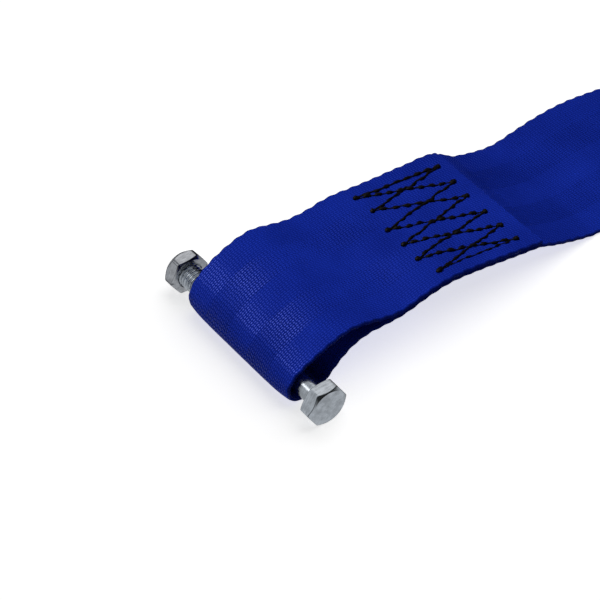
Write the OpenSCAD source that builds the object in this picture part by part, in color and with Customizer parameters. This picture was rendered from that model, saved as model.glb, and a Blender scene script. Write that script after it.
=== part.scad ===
// Short racing tow strap. One strip of seat-belt webbing is folded round a long hex bolt at one
// end and into a pull loop at the other, and each fold is closed by a crossed zigzag seam.
// Millimetres. +Y runs from the bolt to the pull loop, the bolt lies along X with its head at +X,
// and the strap lies on the plane Z = 0. The origin is the middle of the whole part, on that plane.

/* [Webbing] */
// Width of the webbing
strap_w = 50; // [45:1:54]
// Thickness of one ply
ply_t = 1.3; // [1.1:0.05:1.5]
// Length of the gap that stands for the flexing stretch of the strap
flex_gap = 1.6; // [1.6:0.1:3]

/* [Bolt and nut] */
// Outside diameter of the thread
thread_d = 7.9; // [7.5:0.1:8]
// Diameter of the plain, reduced shank
shank_d = 7.1; // [6.4:0.1:7.4]
// Length of the bolt under its head
bolt_len = 70; // [68:1:74]
// Length of the threaded end
thread_len = 24; // [20:1:30]
// Size across flats of the head and the nut
hex_af = 12.4; // [12:0.1:12.7]
// Height of the bolt head
head_h = 4.8; // [3.5:0.1:5.3]
// Height of the nut
nut_h = 5.0; // [4:0.1:5.4]
// Space between the webbing and the head
head_space = 6.4; // [3:0.1:7]
// Space between the webbing and the nut
nut_space = 7.4; // [7.1:0.1:8.5]
// Radial clearance between the nut's bore and the thread
nut_fit = 0.05; // [0.03:0.01:0.1]

/* [Seams] */
// Width of the zigzag across the webbing
seam_w = 41; // [30:1:42]
// Length of the zigzag along the strap
seam_len = 33; // [28:1:34]
// Width of the sewing thread
sew_w = 0.9; // [0.6:0.1:1.2]
// How far the thread stands above the webbing
sew_h = 0.4; // [0.3:0.05:0.45]
// Where the bolt-end seam starts, from the front of the eye
eye_seam_y = 60; // [59:0.5:61]
// Where the loop seam starts, from the front of the eye
loop_seam_y = 178; // [177:0.5:179]

/* [Hidden] */

webbing_blue = [0.03, 0.11, 0.55];
thread_black = [0.03, 0.03, 0.035];
zinc_grey = [0.74, 0.76, 0.78];

axis_z = hex_af / 2;                 // the head and the nut lie on one flat each
roll_r = axis_z - ply_t / 2;         // middle of the ply where it rolls round the bolt
axis_y = axis_z;                     // so the front of the roll is at Y = 0
roll_start = 150;                    // angle at which the upper ply meets the roll
head_x = strap_w / 2 + head_space;   // bearing face of the head
nut_x = -strap_w / 2 - nut_space;    // inner face of the nut
tip_x = head_x - bolt_len;           // threaded tip
flex_y = 125;                        // middle of the flexing stretch
seam_lift = ply_t / 2 + 0.5;         // middle of the lower ply under the loop seam, clear of its thread
eye_back_y = 40.5;                   // where the plies of the eye meet
loop_front_y = 213.5;                // where the plies of the pull loop meet
zigzags = 5;                         // pitches of the zigzag across the webbing
curve_steps = 4;                     // straight pieces between two route points
slack = 1;                           // how far a cutting shape runs past what it cuts

// Middle of the two plies in the sewn zone at the bolt end, and of the single ply after it
lower_route = [[26.8, 13.2], [34, 13.5], [45, 13.5], [52, 14.0], [60, 14.3], [70, 14.1],
               [80, 13.0], [90, 11.6], [97.2, 9.9], [103.3, 6.8], [110, 4.0], [117, 1.8],
               [flex_y - 4, 0.8], [flex_y, ply_t / 2]];
// From the cut end of the upper ply back over the eye to the front of the roll
upper_route = [[97.5, 9.8 + ply_t], [90, 11.6 + ply_t], [80, 13.0 + ply_t], [70, 14.1 + ply_t],
               [60, 14.3 + ply_t], [52, 14.0 + ply_t], [45, 13.5 + ply_t], [40, 15.1],
               [34.5, 16.2], [29.5, 17.7], [23.4, 19.0], [18, 18.2], [13.2, 16.7],
               [9.3, 15.0], [6.0, 13.1], [3.4, 11.4]];
// From the bottom of the roll up to the start of lower_route
rising_route = [[axis_y, ply_t / 2], [9.4, 1.15], [12.2, 2.3], [14.9, 4.3], [18.1, 7.7],
                [22.2, 11.2], [26.8, 13.2]];
// Single ply from the flexing stretch, under the loop seam, round the pull loop to its seam
pull_route = [[flex_y, ply_t / 2], [130, 1.1], [138, 2.1], [148, 2.6], [158, 2.2], [168, 1.5],
              [177, seam_lift], [195, seam_lift], [212, seam_lift], [220, 0.9], [228, 0.66],
              [236, ply_t / 2], [266, ply_t / 2], [278.3, 2.6], [285.7, 8], [288.3, 15], [285.6, 22],
              [277.2, 26.6], [266, 27.7], [252, 24.6], [238, 18.2], [226, 10.2], [217, 4.6],
              [210, seam_lift + ply_t], [195, seam_lift + ply_t], [177, seam_lift + ply_t],
              [173, seam_lift + ply_t]];

function curve(a, b, c, d, u) =
    0.5 * (2 * b + (c - a) * u + (2 * a - 5 * b + 4 * c - d) * u ^ 2 + (3 * b - a - 3 * c + d) * u ^ 3);
// Smooth line through the route's points
function smooth(p) = let (n = len(p) - 1) [
    for (i = [0 : n - 1], k = [0 : curve_steps - 1])
        curve(p[max(i - 1, 0)], p[i], p[i + 1], p[min(i + 2, n)], k / curve_steps),
    p[n]];
// The line kept high enough for its ply to lie on the plane Z = 0
function on_plane(p) = [for (q = p) [q[0], max(q[1], ply_t / 2)]];
function unit(v) = v / norm(v);
function left_of(v) = [-v[1], v[0]];
// The line moved sideways by d, to the left of its direction
function aside(p, d) = let (n = len(p) - 1) [
    for (i = [0 : n]) p[i] + d * left_of(unit(p[min(i + 1, n)] - p[max(i - 1, 0)]))];
function backwards(p) = [for (i = [len(p) - 1 : -1 : 0]) p[i]];
// The roll round the bolt, from the upper ply to its bottom
function roll_arc() = [for (a = [roll_start : 10 : 270]) [axis_y + roll_r * cos(a), axis_z + roll_r * sin(a)]];
// A line's points between two values of Y
function between(p, low, high) = [for (q = p) if (q[0] >= low && q[0] <= high) q];
// Both faces of a ply whose middle is p: every fold has its inner face to the left
function outer_face(p) = aside(p, -ply_t / 2);
function inner_face(p) = aside(p, ply_t / 2);

upper_line = smooth(upper_route);
lower_line = on_plane(smooth(concat(rising_route, [for (i = [1 : len(lower_route) - 1]) lower_route[i]])));
bolt_line = concat(upper_line, roll_arc(), [for (i = [1 : len(lower_line) - 1]) lower_line[i]]);
pull_line = on_plane(smooth(pull_route));
upper_cut_y = upper_route[0][0];
pull_cut_y = pull_route[len(pull_route) - 1][0];
front_y = axis_y - hex_af / 2 / cos(30);  // the hexes' corners stand out in front of the eye
back_y = max([for (q = outer_face(pull_line)) q[0]]);

// The part's origin, from the front of the eye on the strap's centre line
module in_frame() translate([-(tip_x + head_x + head_h) / 2, -(front_y + back_y) / 2, 0]) children();

// Extrude a side outline, drawn in Y and Z, across the width
module across(width) rotate([90, 0, 90]) linear_extrude(width, center = true) children();

// Side outline between two lines beside the middle of a ply
module band(line, low, high) polygon(concat(aside(line, low), backwards(aside(line, high))));

// Everything between two values of Y
module keep_y(low, high) translate([low, -slack]) square([high - low, 40]);

module webbing_bolt_end() color(webbing_blue) in_frame() across(strap_w) intersection() {
    difference() {
        polygon(concat(outer_face(bolt_line), backwards(between(inner_face(lower_line), upper_cut_y, flex_y))));
        polygon(between(inner_face(bolt_line), 0, eye_back_y));
    }
    keep_y(-slack, flex_y - flex_gap / 2);
}

module webbing_pull_end() color(webbing_blue) in_frame() across(strap_w) intersection() {
    difference() {
        polygon(concat(outer_face(pull_line), backwards(between(inner_face(pull_line), 0, pull_cut_y))));
        polygon(between(inner_face(pull_line), loop_front_y, back_y));
    }
    keep_y(flex_y + flex_gap / 2, back_y + slack);
}

// One straight run of sewing thread in plan
module sewn_run(a, b) translate(a) rotate(atan2(b[1] - a[1], b[0] - a[0]))
    translate([-sew_w / 2, -sew_w / 2]) square([norm(b - a) + sew_w, sew_w]);

// Two zigzags that cross each other, with one run at each end, in plan
module crossed_zigzag(start_y) {
    pitch = seam_w / zigzags;
    for (i = [0 : zigzags - 1]) {
        x = -seam_w / 2 + i * pitch;
        sewn_run([x, start_y], [x + pitch, start_y + seam_len]);
        sewn_run([x + pitch, start_y], [x, start_y + seam_len]);
    }
    for (x = [-seam_w / 2, seam_w / 2]) sewn_run([x, start_y], [x, start_y + seam_len]);
}

// A seam's thread lies on the outer face of the ply
module seam_thread(start_y, line) color(thread_black) in_frame() intersection() {
    linear_extrude(40) crossed_zigzag(start_y);
    across(strap_w) band(line, -ply_t / 2 - sew_h, -ply_t / 2);
}

// The stretch of a route's line that carries a seam
function seam_stretch(p, start_y) = between(p, start_y - 10, start_y + seam_len + 4);
loop_turn = [for (i = [0 : len(pull_line) - 1]) if (pull_line[i][0] > back_y - 10) i];
pull_lower = [for (i = [0 : loop_turn[0]]) pull_line[i]];
pull_upper = [for (i = [loop_turn[0] : len(pull_line) - 1]) pull_line[i]];

module eye_seam_needle_thread() seam_thread(eye_seam_y, seam_stretch(upper_line, eye_seam_y));
module eye_seam_bobbin_thread() seam_thread(eye_seam_y, seam_stretch(lower_line, eye_seam_y));
module loop_seam_needle_thread() seam_thread(loop_seam_y, seam_stretch(pull_upper, loop_seam_y));
module loop_seam_bobbin_thread() seam_thread(loop_seam_y, seam_stretch(pull_lower, loop_seam_y));

// Hexagonal prism standing on Z = 0 with its top corners turned off by a cone
module chamfered_hex(af, height, face_r, slope) {
    rim_r = 0.6 * af;  // just outside the corners
    intersection() {
        rotate(30) cylinder(h = height, d = af / cos(30), $fn = 6);
        rotate_extrude($fn = 96) polygon([
            [0, 0], [rim_r, 0], [rim_r, height - (rim_r - face_r) * tan(slope)], [face_r, height], [0, height]]);
    }
}

// Turn a shape that stands on Z = 0 so that it points along +X from x, on the bolt's axis
module along_bolt(x) translate([x, axis_y, axis_z]) rotate([0, 90, 0]) children();

module hex_bolt() color(zinc_grey) in_frame() {
    tip_chamfer = 0.8;
    along_bolt(head_x) chamfered_hex(hex_af, head_h, 0.475 * hex_af, 36);
    along_bolt(tip_x) rotate_extrude($fn = 96) polygon([
        [0, 0], [thread_d / 2 - tip_chamfer, 0], [thread_d / 2, tip_chamfer],
        [thread_d / 2, thread_len], [shank_d / 2, thread_len + (thread_d - shank_d) / 2],
        [shank_d / 2, bolt_len], [0, bolt_len]]);
}

module hex_nut() color(zinc_grey) in_frame() difference() {
    translate([nut_x, axis_y, axis_z]) rotate([0, -90, 0]) chamfered_hex(hex_af, nut_h, 0.445 * hex_af, 48);
    along_bolt(nut_x - nut_h - slack) cylinder(h = nut_h + 2 * slack, r = thread_d / 2 + nut_fit, $fn = 96);
}

webbing_bolt_end();
webbing_pull_end();
eye_seam_needle_thread();
eye_seam_bobbin_thread();
loop_seam_needle_thread();
loop_seam_bobbin_thread();
hex_bolt();
hex_nut();
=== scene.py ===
import math
import random

import bpy
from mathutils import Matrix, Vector


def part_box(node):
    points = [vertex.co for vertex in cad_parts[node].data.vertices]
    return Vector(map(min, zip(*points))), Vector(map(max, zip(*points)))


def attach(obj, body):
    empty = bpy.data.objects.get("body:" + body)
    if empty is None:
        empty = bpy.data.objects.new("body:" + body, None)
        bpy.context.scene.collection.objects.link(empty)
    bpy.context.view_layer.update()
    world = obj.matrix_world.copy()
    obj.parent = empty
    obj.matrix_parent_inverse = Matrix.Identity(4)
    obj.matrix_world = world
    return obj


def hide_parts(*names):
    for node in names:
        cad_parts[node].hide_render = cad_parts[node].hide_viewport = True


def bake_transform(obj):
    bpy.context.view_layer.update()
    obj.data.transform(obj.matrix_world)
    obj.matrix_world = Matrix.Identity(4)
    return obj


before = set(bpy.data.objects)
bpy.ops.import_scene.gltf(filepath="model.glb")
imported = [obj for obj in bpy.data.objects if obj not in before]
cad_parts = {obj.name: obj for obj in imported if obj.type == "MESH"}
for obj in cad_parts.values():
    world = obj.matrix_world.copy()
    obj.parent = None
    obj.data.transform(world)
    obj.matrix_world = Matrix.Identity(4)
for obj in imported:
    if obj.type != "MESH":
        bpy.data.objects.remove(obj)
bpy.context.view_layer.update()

MM = 0.001

# ---------------------------------------------------------------- places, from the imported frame
# The strap's own frame is in millimetres: X from its centre line, Y from the front of the eye, Z up.
PLY = 1.3  # thickness of one ply
HEX_AF = 12.4  # size across flats of the head and the nut
AXIS = HEX_AF / 2  # the bolt's axis in Y and in Z
web_low, web_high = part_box("webbing_bolt_end")
nut_low, nut_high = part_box("hex_nut")
bolt_low, bolt_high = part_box("hex_bolt")
STRAP_X = (web_low[0] + web_high[0]) / 2 / MM
STRAP_Y = (nut_low[1] + nut_high[1]) / 2 / MM - AXIS
HALF_W = (web_high[0] - web_low[0]) / 2 / MM
NUT_OUT, NUT_IN = nut_low[0] / MM - STRAP_X, nut_high[0] / MM - STRAP_X
TIP_X, HEAD_TOP = bolt_low[0] / MM - STRAP_X, bolt_high[0] / MM - STRAP_X
HEAD_H = 4.8  # height of the head
HEAD_X = HEAD_TOP - HEAD_H
SEAM_Y, LOOP_SEAM_Y, CUT_Y = 60.0, 178.0, 97.0  # where each seam starts, and the cut end of the tail
FLEX_Y = 125.0
UV_MM = 50.0  # mm of strip in one unit of its UV map


def row(x, y, z):
    """A point of the strap's frame, in metres, in the row frame."""
    return Vector(((x + STRAP_X) * MM, (y + STRAP_Y) * MM, z * MM))


# ---------------------------------------------------------------- camera, light, floor
def camera():
    azimuth, elevation = math.radians(52.63), math.radians(44.80)
    distance, target = 699.6, row(-8.63, 29.98, 0)
    away = Vector((math.sin(azimuth) * math.cos(elevation), -math.cos(azimuth) * math.cos(elevation),
                   math.sin(elevation)))
    data = bpy.data.cameras.new("photo_camera")
    data.lens, data.sensor_width = 138.0, 36.0
    data.clip_start, data.clip_end = 0.01, 20
    eye = bpy.data.objects.new("photo_camera", data)
    bpy.context.scene.collection.objects.link(eye)
    eye.location = target + away * distance * MM
    eye.rotation_euler = (target - eye.location).to_track_quat("-Z", "Y").to_euler()
    bpy.context.scene.camera = eye


LIT_POINT, LAMP_DISTANCE = Vector((0, -0.08, 0)), 1.15  # in metres


def softbox(name, away, size, power, pieces, link_state="INCLUDE"):
    """A square softbox in the direction away that lights only the pieces, or all but them."""
    data = bpy.data.lights.new(name, "AREA")
    data.shape, data.size, data.energy = "SQUARE", size, power
    lamp = bpy.data.objects.new(name, data)
    bpy.context.scene.collection.objects.link(lamp)
    lamp.location = LIT_POINT + Vector(away).normalized() * LAMP_DISTANCE
    lamp.rotation_euler = (-Vector(away)).to_track_quat("-Z", "Y").to_euler()
    group = bpy.data.collections.new(name + "_reach")
    for piece in pieces:
        group.objects.link(piece)
    for link in group.collection_objects:
        link.light_linking.link_state = link_state
    lamp.light_linking.receiver_collection = group
    return lamp


def studio(table, zinc):
    """The fabric is lit from above and shines towards the front. The table is lit from above and behind, so
    that the soft shadow on it falls to the front. The zinc mirrors a pale studio, dark on the right."""
    not_fabric = [table] + zinc
    main = softbox("main_softbox", (-0.24, -0.08, 0.97), 0.50, 15.5, not_fabric, "EXCLUDE")
    gloss = softbox("gloss_softbox", (-0.39, -0.59, 0.71), 0.34, 21.0, not_fabric, "EXCLUDE")
    fill = softbox("right_fill", (0.88, -0.38, 0.28), 0.60, 1.9, not_fabric, "EXCLUDE")
    main.visible_glossy = fill.visible_glossy = gloss.visible_diffuse = False
    softbox("left_card", (-0.56, -0.56, 0.61), 0.34, 0.65, zinc)
    softbox("top_card", (-0.56, 0.43, 0.71), 0.60, 0.60, zinc)
    softbox("table_wash", (-0.20, 0.60, 0.77), 1.8, 12.5, [table])
    world = bpy.data.worlds.new("studio")
    bpy.context.scene.world = world
    world.use_nodes = True
    world.cycles_visibility.diffuse = False
    tree = world.node_tree
    ways = tree.nodes.new("ShaderNodeTexCoord").outputs["Generated"]
    darker = tree.nodes.new("ShaderNodeMath")
    darker.operation = "MAXIMUM"
    dark_right, dark_back = (0.88, 0.25, 0.40), (-0.53, 0.84, 0.10)
    for socket, direction in zip(darker.inputs, (dark_right, dark_back)):
        facing = tree.nodes.new("ShaderNodeVectorMath")
        facing.operation = "DOT_PRODUCT"
        facing.inputs[1].default_value = direction
        tree.links.new(ways, facing.inputs[0])
        tree.links.new(facing.outputs["Value"], socket)
    dusk = tree.nodes.new("ShaderNodeMapRange")
    dusk.interpolation_type = "SMOOTHSTEP"
    dusk_starts, dusk_ends, pale, dark = 0.45, 0.88, 0.48, 0.02
    for socket, value in zip(dusk.inputs[1:5], (dusk_starts, dusk_ends, pale, dark)):
        socket.default_value = value
    tree.links.new(darker.outputs[0], dusk.inputs[0])
    tree.nodes["Background"].inputs["Color"].default_value = (0.94, 0.97, 1.0, 1.0)
    tree.links.new(dusk.outputs[0], tree.nodes["Background"].inputs["Strength"])
    view = bpy.context.scene.view_settings
    view.view_transform, view.look = "Standard", "None"


# ---------------------------------------------------------------- node helpers
class Graph:
    """A material's node tree with short calls for the few node kinds used here."""

    def __init__(self, name):
        self.material = bpy.data.materials.new(name)
        self.material.use_nodes = True
        self.tree = self.material.node_tree
        self.shader = self.tree.nodes["Principled BSDF"]

    def put(self, socket, value):
        if isinstance(value, bpy.types.NodeSocket):
            self.tree.links.new(value, socket)
        else:
            socket.default_value = value

    def node(self, kind, **settings):
        made = self.tree.nodes.new(kind)
        for key, value in settings.items():
            setattr(made, key, value)
        return made

    def math(self, operation, *values):
        made = self.node("ShaderNodeMath", operation=operation)
        for socket, value in zip(made.inputs, values):
            self.put(socket, value)
        return made.outputs[0]

    def noise(self, where, scale, detail=2.0, roughness=0.5):
        made = self.node("ShaderNodeTexNoise")
        self.put(made.inputs["Vector"], where)
        self.put(made.inputs["Scale"], scale)
        self.put(made.inputs["Detail"], detail)
        self.put(made.inputs["Roughness"], roughness)
        return made.outputs[0]

    def span(self, value, low, high, to_low=0.0, to_high=1.0):
        made = self.node("ShaderNodeMapRange", interpolation_type="SMOOTHSTEP")
        for socket, number in zip(made.inputs, (value, low, high, to_low, to_high)):
            self.put(socket, number)
        return made.outputs[0]

    def mix(self, share, first, second):
        made = self.node("ShaderNodeMix", data_type="RGBA")
        self.put(made.inputs["Factor"], share)
        self.put(made.inputs["A"], first)
        self.put(made.inputs["B"], second)
        return made.outputs["Result"]

    def place(self, scale=(1, 1, 1)):
        """Object coordinates in millimetres, stretched by scale."""
        where = self.node("ShaderNodeTexCoord").outputs["Object"]
        made = self.node("ShaderNodeVectorMath", operation="MULTIPLY")
        self.put(made.inputs[0], where)
        self.put(made.inputs[1], tuple(s / MM for s in scale))
        return made.outputs[0]

    def bump(self, height, strength, distance, under=None):
        made = self.node("ShaderNodeBump")
        self.put(made.inputs["Height"], height)
        self.put(made.inputs["Strength"], strength)
        self.put(made.inputs["Distance"], distance)
        if under is not None:
            self.put(made.inputs["Normal"], under)
        return made.outputs[0]

    def set(self, **sockets):
        for name, value in sockets.items():
            self.put(self.shader.inputs[name.replace("_", " ")], value)


# ---------------------------------------------------------------- materials
def webbing_material(strip):
    """Polyester seat-belt webbing: fine warp yarns over weft ribs, in five panels. In the second and fourth
    the yarns lean at each pick, so they shine where the others don't. Lengths are in millimetres."""
    g = Graph("blue_webbing")
    uv = g.node("ShaderNodeUVMap", uv_map="strip").outputs["UV"]
    parts = g.node("ShaderNodeSeparateXYZ")
    g.put(parts.inputs[0], uv)
    u = g.math("MODULO", parts.outputs[0], 1.0)
    wobble = g.math("MULTIPLY", g.noise(g.place(), 0.15, 1.0), 0.4)
    across = g.math("ADD", g.math("MULTIPLY", u, UV_MM), wobble)
    along = g.math("ADD", g.math("MULTIPLY", parts.outputs[1], UV_MM), wobble)
    # five panels of 10 mm: 0 for the first, third and fifth, 1 for the two between them
    panel = g.math("MODULO", g.math("FLOOR", g.math("MULTIPLY", u, 5.0)), 2.0)
    yarn_width, pick_length = 0.74, 1.10
    yarn_high, pick_high, dip_deep, lean_high = 0.075, 0.022, 0.012, 0.19
    yarn = g.math("DIVIDE", across, yarn_width)
    yarn_number = g.math("FLOOR", yarn)
    # each yarn's picks start a little further along, by a share that repeats only after many yarns
    drift = g.math("MULTIPLY", g.math("FRACT", g.math("MULTIPLY", yarn_number, 0.618)), 0.35)
    pick = g.math("ADD", g.math("DIVIDE", along, pick_length), drift)
    yarn_round = g.math("POWER", g.math("ABSOLUTE", g.math("SINE", g.math("MULTIPLY", yarn, math.pi))), 0.7)
    pick_round = g.math("POWER", g.math("ABSOLUTE", g.math("SINE", g.math("MULTIPLY", pick, math.pi))), 0.5)
    # every third yarn dips at a pick, one yarn further on at the next one
    step = g.math("FRACT", g.math("DIVIDE", g.math("ADD", yarn_number, g.math("FLOOR", pick)), 3.0))
    dip = g.math("LESS_THAN", step, 0.3)
    lean = g.math("MULTIPLY", g.math("SUBTRACT", g.math("FRACT", pick), 0.5),
                  g.math("MULTIPLY", panel, lean_high))
    height = g.math("ADD", g.math("MULTIPLY", yarn_round, yarn_high),
                    g.math("MULTIPLY", pick_round, pick_high))
    height = g.math("ADD", g.math("SUBTRACT", height, g.math("MULTIPLY", dip, dip_deep)), lean)
    fibres = g.noise(g.place((3.2, 0.5, 0.5)), 1.6, 3.0)
    patches = g.noise(g.place(), 0.06, 2.0)
    crest = g.math("MULTIPLY", g.span(yarn_round, 0.5, 1.0), g.span(pick_round, 0.45, 0.95))
    # the yarn crests are lighter and the gaps between them darker: the weave's own pattern, partly a painted
    # highlight on the crests and painted shade between them
    tone = g.math("ADD", g.math("MULTIPLY", crest, 0.30), g.math("MULTIPLY", patches, 0.5))
    tone = g.math("ADD", tone, g.math("MULTIPLY", g.math("SUBTRACT", fibres, 0.5), 0.2))
    from_middle = g.math("ABSOLUTE", g.math("SUBTRACT", u, 0.5))
    deep, bright = (0.0026, 0.0085, 0.130, 1), (0.0078, 0.0258, 0.325, 1)
    painted_edge_shade, shine = (0.0012, 0.0045, 0.070, 1), (0.16, 0.24, 1.0, 1)
    colour = g.mix(g.span(tone, -0.1, 0.9), deep, bright)
    # from the cut end down to the table the single ply is painted a darker blue: painted shade on the slope
    # that faces away from the light
    start, end = (strip.s[strip.index(y, "eye_under")] / UV_MM for y in (CUT_Y, FLEX_Y - 1))
    darker = g.math("MULTIPLY", g.span(parts.outputs[1], start - 0.05, start + 0.03),
                    g.span(parts.outputs[1], start + 0.1, end, 1.0, 0.0))
    colour = g.mix(g.math("MULTIPLY", darker, 0.36), colour, deep)
    # the side edges of the strip are painted a deeper blue: painted shade along the edges
    g.set(Base_Color=g.mix(g.span(from_middle, 0.487, 0.497), colour, painted_edge_shade))
    # the raised part of each yarn between two picks is the part that shines
    g.set(Roughness=g.span(crest, 0.0, 1.0, 0.55, 0.34))
    g.set(Specular_IOR_Level=g.span(crest, 0.1, 1.0, 0.0, 0.16), Specular_Tint=shine)
    normal = g.bump(fibres, 0.12, 0.0001)
    g.set(Normal=g.bump(height, 1.0, 0.001, normal))
    return g.material


def thread_material():
    """Black bonded thread: two near-black shades with a faint brown cast, dull sheen."""
    g = Graph("black_thread")
    strands = g.noise(g.place(), 2.2, 3.0)
    colour = g.mix(g.span(strands, 0.35, 0.7), (0.0008, 0.0009, 0.0018, 1), (0.0050, 0.0036, 0.0034, 1))
    g.set(Base_Color=colour, Roughness=g.span(strands, 0.3, 0.7, 0.5, 0.7))
    g.set(Specular_IOR_Level=0.06)
    g.set(Normal=g.bump(strands, 0.5, 0.0001))
    return g.material


def zinc_material(name, streak, tint=(0.67, 0.71, 0.76), rough=0.15):
    """Bright zinc plate. streak is the scale of the turning marks along each axis: the smallest is the way
    they run. The mesh attribute rim is 1 where the plate is darkened: a darker line along the hex edges, and
    painted shade in the thread's grooves and over the nut's corners."""
    g = Graph(name)
    clouds = g.noise(g.place(), 0.45, 3.0, 0.6)
    grain = g.noise(g.place(), 3.5, 3.0, 0.7)
    marks = g.noise(g.place(streak), 1.0, 4.0, 0.7)
    shade = g.math("ADD", g.math("MULTIPLY", clouds, 0.45), g.math("MULTIPLY", marks, 0.55))
    light = tuple(c * 1.2 for c in tint) + (1,)
    dark = tuple(c * 0.72 for c in tint) + (1,)
    colour = g.mix(g.span(shade, 0.35, 0.65), dark, light)
    edge_dark_and_painted_shade = (0.03, 0.035, 0.045, 1)
    rim = g.node("ShaderNodeAttribute", attribute_name="rim").outputs["Fac"]
    # rim mixes in a dark colour: a darker line along the hex edges, and painted shade in the thread's grooves
    # and over the nut's corners
    g.set(Base_Color=g.mix(g.math("MULTIPLY", rim, 0.85), colour, edge_dark_and_painted_shade), Metallic=1.0)
    g.set(Roughness=g.math("ADD", g.span(clouds, 0.3, 0.7, rough - 0.05, rough + 0.08),
                           g.math("MULTIPLY", grain, 0.05)))
    normal = g.bump(marks, 0.35, 0.00006)
    g.set(Normal=g.bump(grain, 0.16, 0.00008, normal))
    return g.material


def floor_material():
    g = Graph("pale_floor")
    g.set(Base_Color=(0.93, 0.93, 0.93, 1.0), Roughness=0.75, Specular_IOR_Level=0.1)
    g.set(Emission_Color=(1.0, 1.0, 1.0, 1.0), Emission_Strength=0.70)
    return g.material


# ---------------------------------------------------------------- mesh helpers
def make_object(name, points, faces, material, smooth=True):
    mesh = bpy.data.meshes.new(name)
    mesh.from_pydata(points, [], faces)
    mesh.materials.append(material)
    mesh.polygons.foreach_set("use_smooth", [smooth] * len(mesh.polygons))
    mesh.update()
    made = bpy.data.objects.new(name, mesh)
    bpy.context.scene.collection.objects.link(made)
    return made


def tube(faces, first, sides, rings, capped=True):
    """Faces of a tube whose rings of points follow one another from the point first on, and of its ends."""
    for i in range(rings - 1):
        here, there = first + i * sides, first + (i + 1) * sides
        for k in range(sides):
            m = (k + 1) % sides
            faces.append((here + k, here + m, there + m, there + k))
    if capped:
        last = first + (rings - 1) * sides
        faces.append(tuple(range(first, first + sides))[::-1])
        faces.append(tuple(range(last, last + sides)))


def curve(a, b, c, d, u):
    """Catmull-Rom point between b and c."""
    return tuple(0.5 * (2 * q + (r - p) * u + (2 * p - 5 * q + 4 * r - s) * u * u
                        + (3 * q - p - 3 * r + s) * u ** 3) for p, q, r, s in zip(a, b, c, d))


def smooth_line(points, steps):
    """A smooth line through the points, with this many steps from each one to the next."""
    last = len(points) - 1
    line = [curve(points[max(i - 1, 0)], points[i], points[i + 1], points[min(i + 2, last)], k / steps)
            for i in range(last) for k in range(steps)]
    return line + [points[-1]]


def at(table, y):
    """Straight-line value of a table of (y, value) pairs."""
    if y <= table[0][0]:
        return table[0][1]
    for (y0, v0), (y1, v1) in zip(table, table[1:]):
        if y <= y1:
            return v0 + (v1 - v0) * (y - y0) / (y1 - y0)
    return table[-1][1]


def ease(x, low, high):
    """0 up to low and 1 from high on, smooth in between."""
    t = min(max((x - low) / (high - low), 0.0), 1.0)
    return t * t * (3 - 2 * t)


# ---------------------------------------------------------------- the strip's route
SEAM_LIFT = PLY / 2 + 0.5
LOWER = [(34, 13.5), (45, 13.5), (52, 14.0), (60, 14.3), (70, 14.1), (80, 13.0), (90, 11.6), (97.2, 9.9),
         (103.3, 6.8), (110, 4.0), (117, 1.8), (121, 0.8)]
UPPER = [(97.5, 9.8 + PLY), (90, 11.6 + PLY), (80, 13.0 + PLY), (70, 14.1 + PLY), (60, 14.3 + PLY),
         (52, 14.0 + PLY), (45, 13.5 + PLY), (40, 15.1), (34.5, 16.2), (29.5, 17.7), (23.4, 19.0),
         (18, 18.2), (13.2, 16.7), (9.3, 15.0), (6.0, 13.1), (3.4, 11.4)]
RISING = [(9.4, 1.15), (12.2, 2.3), (14.9, 4.3), (18.1, 7.7), (22.2, 11.2), (26.8, 13.2)]
PULL = [(FLEX_Y, PLY / 2), (130, 1.1), (138, 2.1), (148, 2.6), (158, 2.2), (168, 1.5),
        (177, SEAM_LIFT), (195, SEAM_LIFT), (212, SEAM_LIFT), (220, 0.9), (228, 0.66),
        (234, PLY / 2), (252, PLY / 2), (266, PLY / 2), (271, 0.95), (278.3, 2.9), (285.7, 8),
        (288.3, 15), (285.6, 22), (277.2, 26.6), (266, 27.7), (252, 24.6), (238, 18.2), (226, 10.2),
        (217, 4.6), (210, SEAM_LIFT + PLY), (195, SEAM_LIFT + PLY), (177, SEAM_LIFT + PLY),
        (173, SEAM_LIFT + PLY)]
ROLL_R = AXIS - PLY / 2
ROLL = [(AXIS + ROLL_R * math.cos(math.radians(a)), AXIS + ROLL_R * math.sin(math.radians(a)))
        for a in range(150, 271, 15)]
# How far each edge of the strip lies above the middle line of the route, along Y: near is X > 0
SEWN_NEAR = [(45, -0.6), (49, 0.0), (53, 0.5), (58, 0.9), (62, 0.9), (66, 0.5), (71, -0.1), (76, -0.45),
             (82, -0.9), (88, -1.3), (93, -1.3), (98, -1.0)]
SEWN_FAR = [(46, 2.2), (50, 2.4), (55, 2.1), (60, 1.3), (66, 0.55), (72, 0.3), (78, 0.6), (84, 0.7),
            (90, 1.3), (98, 1.6)]
NEAR_TOP = [(0, 0.0), (6, -0.5), (11, -0.9), (23, -0.85), (30, -0.6), (41, -1.0)] + SEWN_NEAR
FAR_TOP = [(0, 0.5), (6, 1.4), (10, 1.7), (18, 1.9), (23, 1.7), (30, 1.45), (37, 1.5), (41, 1.9)] + SEWN_FAR
NEAR_UNDER = [(6, 0.0), (15, -0.1), (23, -0.8), (27, -0.9), (31, -0.5), (35, -0.8), (41, -1.0)]
NEAR_UNDER += SEWN_NEAR + [
    (104, -0.5), (110, -0.2), (116, -0.2), (122, 0.0), (135, -1.0), (146, -1.5), (157, -1.2),
    (168, -0.6), (177, -0.2), (200, 0.0)]
FAR_UNDER = [(6, 0.0), (26, 0.2), (34, 0.8), (41, 1.9)] + SEWN_FAR + [
    (103, 0.6), (110, 1.2), (116, 1.6), (122, 2.6), (128, 3.3), (136, 3.4), (146, 3.3), (155, 2.9),
    (164, 2.0), (177, 0.7), (200, 0.0)]
ROLL_BULGE = 0.9  # mm that the middle of the roll stands proud of the bolt, low on its front
STEP = 0.8  # mm between rows of the mesh


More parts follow.
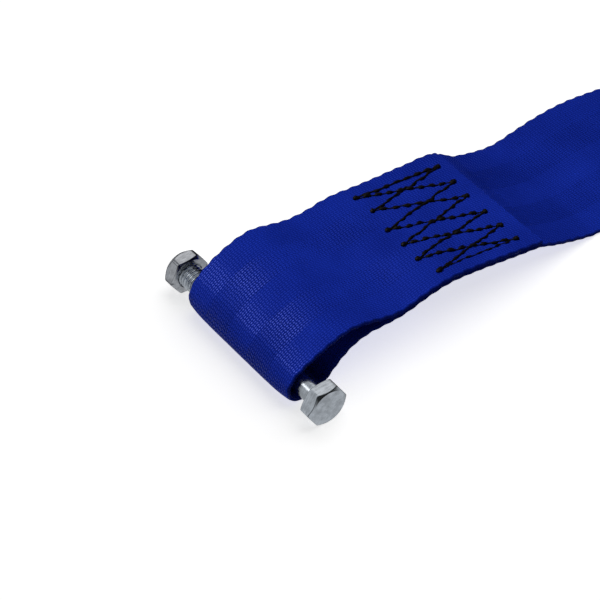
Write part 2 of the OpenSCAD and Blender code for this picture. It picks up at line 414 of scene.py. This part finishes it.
class Strip:
    """The strip row by row along its middle line: s is the length so far, mid is (Y, Z) and normal is the way
    out of the outer face. front is the row at the front of the eye."""

    def __init__(self):
        line = smooth_line(UPPER + ROLL + RISING + LOWER + PULL, 10)
        line = [(y, max(z, PLY / 2)) for y, z in line]
        length = [0.0]
        for p, q in zip(line, line[1:]):
            length.append(length[-1] + math.dist(p, q))
        self.length = length[-1]
        self.count = round(self.length / STEP)
        self.s, self.mid, j = [], [], 0
        for i in range(self.count + 1):
            s = self.length * i / self.count
            while j < len(length) - 2 and length[j + 1] < s:
                j += 1
            t = (s - length[j]) / (length[j + 1] - length[j])
            self.s.append(s)
            self.mid.append(tuple(a + (b - a) * t for a, b in zip(line[j], line[j + 1])))
        self.front = min(range(len(self.mid)), key=lambda i: self.mid[i][0])
        self.normal = []
        for i in range(len(self.mid)):
            a, b = self.mid[max(i - 1, 0)], self.mid[min(i + 1, self.count)]
            dy, dz = b[0] - a[0], b[1] - a[1]
            size = math.hypot(dy, dz)
            self.normal.append((dz / size, -dy / size))

    def rise(self, i, x):
        """How far the strip at x lies above the route's middle line. The raised part of the pull loop isn't
        tilted."""
        y, z = self.mid[i]
        if z > 2 and self.s[i] > self.length * 0.6:
            return 0.0
        near, far = (NEAR_TOP, FAR_TOP) if i < self.front else (NEAR_UNDER, FAR_UNDER)
        near, far = at(near, y), at(far, y)
        return (near + far) / 2 + (near - far) / 2 * x / HALF_W

    def point(self, i, x, lift):
        """A point lift above the middle line on the outer side, in the strap's frame. It stays above the
        table."""
        bulge_turn, bulge_spread = 28, 26  # degrees that the roll's face has turned down from straight ahead
        (y, z), (ny, nz) = self.mid[i], self.normal[i]
        z = z + self.rise(i, x)
        if y < AXIS and ny < 0:
            turn = math.degrees(math.atan2(-nz, -ny))
            low_front = math.exp(-((turn - bulge_turn) / bulge_spread) ** 2)
            lift += ROLL_BULGE * low_front * (1 - (x / HALF_W) ** 6)
        y, z = y + ny * lift, z + nz * lift
        return x, y, max(z, PLY / 2 + nz * abs(lift) if nz < 0 else 0.0)

    def index(self, y, ply):
        """The row nearest to Y on one ply: the bolt end's upper or lower one, or the loop's."""
        back = max(range(len(self.mid)), key=lambda i: self.mid[i][0])
        spans = {"eye_top": range(self.front), "eye_under": range(self.front, back),
                 "loop_under": range(self.front, back), "loop_top": range(back, self.count + 1)}
        return min(spans[ply], key=lambda i: abs(self.mid[i][0] - y))


def section():
    """One cross-section of the webbing as (x, lift) pairs: outer face, then inner face, as a closed loop."""
    rounding, flat_steps = 0.7, 54
    inner_w = HALF_W - rounding
    flat = [(-inner_w + 2 * inner_w * k / flat_steps, 1.0) for k in range(flat_steps + 1)]
    turns = [math.radians(degrees) for degrees in (30, 55, 75)]
    edge = [(inner_w + rounding * math.sin(a), math.cos(a)) for a in turns]
    outer = [(-x, h) for x, h in reversed(edge)] + flat + edge
    return [(-HALF_W, 0.0)] + outer + [(HALF_W, 0.0)] + [(x, -h) for x, h in reversed(outer)]


def webbing(strip, material):
    """The strip as one closed mesh, with a scalloped edge, a groove between the panels and an uneven cut."""
    ring = section()
    scallop_pitch, near_depth, far_depth = 4.4, 0.30, 0.36
    groove_depth, groove_width, groove_places = 0.07, 0.45, (15, 5)  # places on both sides of the middle
    cut_rows = 5
    points, faces = [], []
    for i in range(strip.count + 1):
        s = strip.s[i]
        wave = math.cos(2 * math.pi * s / scallop_pitch)
        wave_far = math.cos(2 * math.pi * (s + 1.3) / scallop_pitch + 0.8 * math.sin(s / 21))
        scallop = near_depth * (0.5 + 0.5 * wave)
        scallop_far = far_depth * (0.5 + 0.5 * wave_far)
        for x, h in ring:
            by_edge = ease(abs(x), HALF_W - 3.0, HALF_W)
            pull = by_edge * (scallop if x > 0 else scallop_far)
            here = x - math.copysign(pull, x)
            groove = sum(math.exp(-((abs(x) - g) / groove_width) ** 2) for g in groove_places)
            half = PLY / 2 - groove_depth * groove
            swell = 0.05 * by_edge * wave
            px, py, pz = strip.point(i, here, h * (half + swell))
            if i < cut_rows:
                trim = 0.85 * x / HALF_W - 0.65 + 0.12 * math.sin(2.1 * x) + 0.07 * math.sin(5.3 * x + 1)
                py += trim * (1 - i / cut_rows)
            points.append(row(px, py, pz))
    n = len(ring)
    tube(faces, 0, n, strip.count + 1)
    made = make_object("webbing_strip", points, faces, material)
    made.data.set_sharp_from_angle(angle=math.radians(60))
    # U runs across the strip, from 0 to 1 on its outer face and from 2 to 3 on its inner one, and V along it
    layer = made.data.uv_layers.new(name="strip")
    half_ring, margin = n // 2, 0.0002
    for face in made.data.polygons:
        ks = [v % n for v in face.vertices]
        closing = 0 in ks and sum(k >= half_ring for k in ks) > 1
        inner = min(ks) >= half_ring or closing
        for loop, v in zip(face.loop_indices, face.vertices):
            u = (ring[v % n][0] / HALF_W + 1) / 2
            layer.data[loop].uv = (min(max(u, margin), 1 - margin) + (2 if inner else 0),
                                   strip.s[v // n] / UV_MM)
    return made


# ---------------------------------------------------------------- seams
# where the runs turn, as (X, Y from the seam's start), and the runs between them: (left, right, sizes)
LEFT_ENDS = ((-19.3, -0.3), (-11.7, 0.3), (-2.2, -1.5), (5.5, -1.5), (12.8, -2.0), (20.4, 0.3))
RIGHT_ENDS = ((-18.0, 31.2), (-9.9, 30.9), (-2.6, 30.1), (5.9, 30.2), (13.2, 30.4), (20.2, 30.6))
# half width of the thread between holes and at a hole, in mm
TIGHT, LOOSE, THIN, DOUBLED = (0.28, 0.47), (0.19, 0.59), (0.14, 0.34), (0.28, 0.56)
RUNS = ((0, 0, DOUBLED), (0, 1, LOOSE), (1, 0, TIGHT), (1, 2, LOOSE), (2, 1, TIGHT), (2, 3, LOOSE),
        (3, 2, TIGHT), (3, 4, LOOSE), (4, 3, TIGHT), (4, 5, LOOSE), (5, 4, TIGHT), (5, 5, THIN))
STITCH = 3.8  # mm from hole to hole


def strand(points, faces, centres, ups, sizes):
    """A three-lobed twisted strand through the centres, closed at both ends. sizes are half widths."""
    sides, lobes, twist, flatness = 12, 3, 0.9, 0.8
    first, count = len(points), len(centres)
    for i, (centre, up, size) in enumerate(zip(centres, ups, sizes)):
        ahead = (centres[min(i + 1, count - 1)] - centres[max(i - 1, 0)]).normalized()
        side = ahead.cross(up).normalized()
        over = side.cross(ahead)
        for k in range(sides):
            a = 2 * math.pi * k / sides
            lobe = 1 + 0.12 * math.cos(lobes * a - twist * i)
            point = centre + (side * math.cos(a) + over * math.sin(a) * flatness) * size * lobe
            point.z = max(point.z, 0.0)  # pressed flat where the strap lies on the table
            points.append(point)
    tube(faces, first, sides, count)


def seam(name, strip, start_y, ply, material):
    """One thread of a seam, run by run, thicker at each hole. slack bows it between two holes, and stray
    moves it aside at a hole."""
    per_stitch, knot_steps = 12, 10
    points, faces = [], []
    dice = random.Random(name)

    def surface(x, y):
        """The point of the ply's outer face at (x, y), between two rows, and the way up from it."""
        i = strip.index(y, ply)
        ny, nz = strip.normal[i]
        j = min(max(i + (1 if (strip.mid[i][0] < y) == (strip.normal[i][1] < 0) else -1), 0), strip.count)
        gap = strip.mid[j][0] - strip.mid[i][0]
        t = min(max((y - strip.mid[i][0]) / gap, 0.0), 1.0) if gap else 0.0
        a, b = (Vector(strip.point(m, x, PLY / 2)) for m in (i, j))
        return row(*a.lerp(b, t)), Vector((0, ny, nz))

    def lay(path, widths):
        """A strand along plan points (x, y), with its underside sunk a little into the face."""
        spots = [surface(x, y) for x, y in path]
        lift = [0.55 * w * MM for w in widths]
        strand(points, faces, [p + up * h for (p, up), h in zip(spots, lift)], [up for _, up in spots],
               [w * MM for w in widths])

    for left, right, (thin, thick) in RUNS:
        a = (LEFT_ENDS[left][0], start_y + LEFT_ENDS[left][1])
        b = (RIGHT_ENDS[right][0], start_y + RIGHT_ENDS[right][1])
        holes = round(math.dist(a, b) / STITCH)
        shifts = [dice.uniform(-0.09, 0.09) for _ in range(holes + 1)]
        bulk = [dice.uniform(0.85, 1.12) for _ in range(holes + 1)]
        slack = [dice.uniform(-0.28, 0.28) for _ in range(holes)]
        stray = [dice.uniform(-0.30, 0.30) for _ in range(holes + 1)]
        path, widths = [], []
        for k in range(holes * per_stitch + 1):
            t = k / per_stitch
            near = min(round(t), holes)
            off = t - near - shifts[near] * (0 < near < holes)
            bead = math.exp(-(off * STITCH / 1.1) ** 4)
            bow = slack[min(int(t), holes - 1)] * math.sin(math.pi * (t % 1.0)) + stray[near] * bead
            share = t / holes
            x = a[0] + (b[0] - a[0]) * share + bow
            path.append((x, a[1] + (b[1] - a[1]) * share))
            widths.append(thin + (thick * bulk[near] - thin) * bead)
        lay(path, widths)
    # knots where the runs turn, each with the thread's short overrun
    for ends, way in ((LEFT_ENDS, -1), (RIGHT_ENDS, 1)):
        for k, (x, y) in enumerate(ends):
            reach = 1.6 if (k, way) == (5, -1) else 0.7
            heading = dice.uniform(-0.3, 0.1)
            shares = [j / knot_steps for j in range(knot_steps + 1)]
            path = [(x + heading * way * reach * (share - 0.35),
                     start_y + y + way * (reach + 0.7) * (share - 0.35)) for share in shares]
            lay(path, [0.28 + 0.50 * math.sin(math.pi * min(share * 0.85 + 0.12, 1.0)) ** 0.8
                       for share in shares])
    return make_object(name, points, faces, material)


# ---------------------------------------------------------------- bolt and nut
def to_corner(angle):
    """0 in the middle of a hexagon's flat, 1 at a corner. A flat faces angle 0."""
    return abs(math.remainder(angle, math.pi / 3)) / (math.pi / 6)


def hex_radius(angle, af):
    """Distance from the axis to a hexagon's side, its corners slightly cut."""
    sharp = af / 2 / math.cos(math.remainder(angle, math.pi / 3))
    corner = af / 2 / math.cos(math.pi / 6)
    cut_from, cut_share = 0.86, 0.15
    return sharp - cut_share * max(0.0, to_corner(angle) - cut_from) / (1 - cut_from) * (corner - af / 2)


def hex_body(name, af, x_seat, x_top, bore, face_r, slope, seat_r, seat_slope, material, turn=0.0,
             corner_rim=0.0):
    """A hexagonal head or nut between x_seat and x_top, both ends turned off by a cone, hollow if bore > 0.
    The cones start at face_r on the top and at seat_r on the seat. The attribute rim marks the edges, and
    corner_rim is its value at the corners, where it paints shade over their highlight."""
    sides, chamfer = 144, 0.45
    direction = 1 if x_top > x_seat else -1
    height = abs(x_top - x_seat)
    points, faces, rims = [], [], []

    def ring(radius_of, level_of, rim=0.0):
        for k in range(sides):
            a = 2 * math.pi * k / sides
            r = radius_of(a - turn)
            h = level_of(r)
            # corner_rim darkens the hex corners: painted shade over their highlight
            rims.append(max(rim, corner_rim * ease(to_corner(a - turn), 0.84, 0.95) * (r > af / 2)))
            points.append(row(x_seat + direction * h, AXIS + r * math.sin(a),
                              max(AXIS + r * math.cos(a), 0.0)))

    def top(r):
        return height - max(0.0, r - face_r) * math.tan(slope)

    def seat(r):
        return max(0.0, r - seat_r) * math.tan(seat_slope)

    inner = bore + chamfer if bore > 0 else 0.0
    steps = (0.35, 0.7, 0.96, 1.0)
    if bore > 0:
        ring(lambda a: bore, lambda r: chamfer)
        ring(lambda a: inner, lambda r: 0.0)
    for share in steps:
        ring(lambda a: inner + (seat_r - inner) * share, lambda r: 0.0)
    for share in (0.08, 0.5, 0.94):
        ring(lambda a: seat_r + (hex_radius(a, af) - 0.08 - seat_r) * share, seat)
    ring(lambda a: hex_radius(a, af) - 0.02, lambda r: seat(r) + 0.03, 0.7)
    ring(lambda a: hex_radius(a, af), lambda r: seat(r) + 0.12, 0.3)
    ring(lambda a: hex_radius(a, af), lambda r: seat(r) + 0.26)
    for share in (0.3, 0.5, 0.7):
        ring(lambda a: hex_radius(a, af), lambda r: seat(r) + (top(r) - seat(r)) * share)
    ring(lambda a: hex_radius(a, af), lambda r: top(r) - 0.30)
    ring(lambda a: hex_radius(a, af), lambda r: top(r) - 0.12, 1.0)
    ring(lambda a: hex_radius(a, af) - 0.02, lambda r: top(r) - 0.03, 1.0)
    for share in (0.94, 0.5, 0.08):
        ring(lambda a: face_r + (hex_radius(a, af) - 0.08 - face_r) * share, top)
    for share in reversed(steps):
        ring(lambda a: inner + (face_r - inner) * share, lambda r: height)
    if bore > 0:
        ring(lambda a: inner, lambda r: height)
        ring(lambda a: bore, lambda r: height - chamfer)
    tube(faces, 0, sides, len(points) // sides, capped=bore <= 0)
    if bore > 0:
        last = len(points) - sides
        for k in range(sides):
            m = (k + 1) % sides
            faces.append((last + k, last + m, m, k))
    made = make_object(name, points, faces, material)
    made.data.attributes.new("rim", "FLOAT", "POINT").data.foreach_set("value", rims)
    made.data.set_sharp_from_angle(angle=math.radians(28))
    return made


THREAD_R, SHANK_R, PITCH, THREAD_LEN, THREAD_DEPTH = 3.95, 3.55, 1.25, 24.0, 0.72


def thread_profile(share):
    """Height of the thread from 0 at its root to 1 at its crest, over one pitch."""
    rise = abs(share - 0.5) * 2
    return min(max((rise - 0.18) / 0.66, 0.0), 1.0)


def bolt_shank(material):
    """The threaded end with its helix, the run-out and the plain shank, up into the head. The attribute rim
    marks the thread's grooves with painted shade, and darkens the run-out and plain shank a little."""
    sides, fine, fillet_len, fillet_high = 72, PITCH / 12, 0.7, 0.35
    points, faces, stations, rims = [], [], [], []
    x = TIP_X
    while x < TIP_X + THREAD_LEN:
        stations.append(x)
        x += fine
    stations += [TIP_X + THREAD_LEN + d for d in (0.0, 0.25, 0.6, 1.2, 2.4)]
    x = TIP_X + THREAD_LEN + 5
    while x < HEAD_X - 1:
        stations.append(x)
        x += 3
    stations += [HEAD_X - 0.7, HEAD_X - 0.4, HEAD_X - 0.2, HEAD_X + 0.1]
    for x in stations:
        along = x - TIP_X
        for k in range(sides):
            a = 2 * math.pi * k / sides
            share = (along / PITCH - k / sides) % 1.0
            thread_r = THREAD_R - THREAD_DEPTH * (1 - thread_profile(share))
            if along < 1:  # the tip is chamfered
                thread_r = min(thread_r, THREAD_R - 0.95 + along)
            runout = ease(along, THREAD_LEN - 2.0, THREAD_LEN)
            # rim puts painted shade in the thread's grooves, and a little darkening all over the run-out and
            # plain shank
            rims.append(0.42 * (1 - thread_profile(share)) * (1 - runout) + 0.2 * runout)
            r = thread_r + (SHANK_R - thread_r) * runout
            fillet = max(0.0, along - (HEAD_X - TIP_X - fillet_len))
            r += fillet_high * (fillet / fillet_len) ** 2
            points.append(row(x, AXIS + r * math.sin(a), AXIS + r * math.cos(a)))
    tube(faces, 0, sides, len(stations))
    made = make_object("bolt_shank", points, faces, material)
    made.data.attributes.new("rim", "FLOAT", "POINT").data.foreach_set("value", rims)
    made.data.set_sharp_from_angle(angle=math.radians(40))
    return made


# ---------------------------------------------------------------- assembly
def assemble():
    strip = Strip()
    blue, black = webbing_material(strip), thread_material()
    web = webbing(strip, blue)
    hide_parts("webbing_bolt_end", "webbing_pull_end")
    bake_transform(web)
    eye, loop = (SEAM_Y, "bolt_end_strap"), (LOOP_SEAM_Y, "pull_end_strap")
    threads = (("eye_needle_thread", *eye, "eye_top", "eye_seam_needle_thread"),
               ("eye_bobbin_thread", *eye, "eye_under", "eye_seam_bobbin_thread"),
               ("loop_needle_thread", *loop, "loop_top", "loop_seam_needle_thread"),
               ("loop_bobbin_thread", *loop, "loop_under", "loop_seam_bobbin_thread"))
    for name, y, body, ply, node in threads:
        piece = seam(name, strip, y, ply, black)
        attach(piece, body)
        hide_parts(node)
    bolt_zinc = zinc_material("zinc_bolt", (1.5, 0.25, 0.25))
    nut_zinc = zinc_material("zinc_nut", (1.2, 0.4, 0.4), (0.58, 0.59, 0.62), 0.13)
    head = hex_body("bolt_head", HEX_AF, HEAD_X, HEAD_TOP, 0, 0.475 * HEX_AF, math.radians(36),
                    0.48 * HEX_AF, math.radians(20), bolt_zinc)
    shank = bolt_shank(bolt_zinc)
    for piece in (head, shank):
        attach(piece, "bolt")
        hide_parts("hex_bolt")
    # the nut's corners get painted shade through corner_rim
    nut = hex_body("lock_nut", HEX_AF, NUT_IN, NUT_OUT, THREAD_R + 0.05, 0.445 * HEX_AF, math.radians(48),
                   0.46 * HEX_AF, math.radians(24), nut_zinc, turn=math.radians(-3.0), corner_rim=0.8)
    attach(nut, "nut")
    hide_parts("hex_nut")
    return [head, shank, nut]


def floor():
    size, below = 3.0, -0.00005
    plate = make_object("floor", [(-size, -size, below), (size, -size, below), (size, size, below),
                                  (-size, size, below)], [(0, 1, 2, 3)], floor_material(), False)
    plate.visible_glossy = False
    return plate


camera()
studio(floor(), assemble())
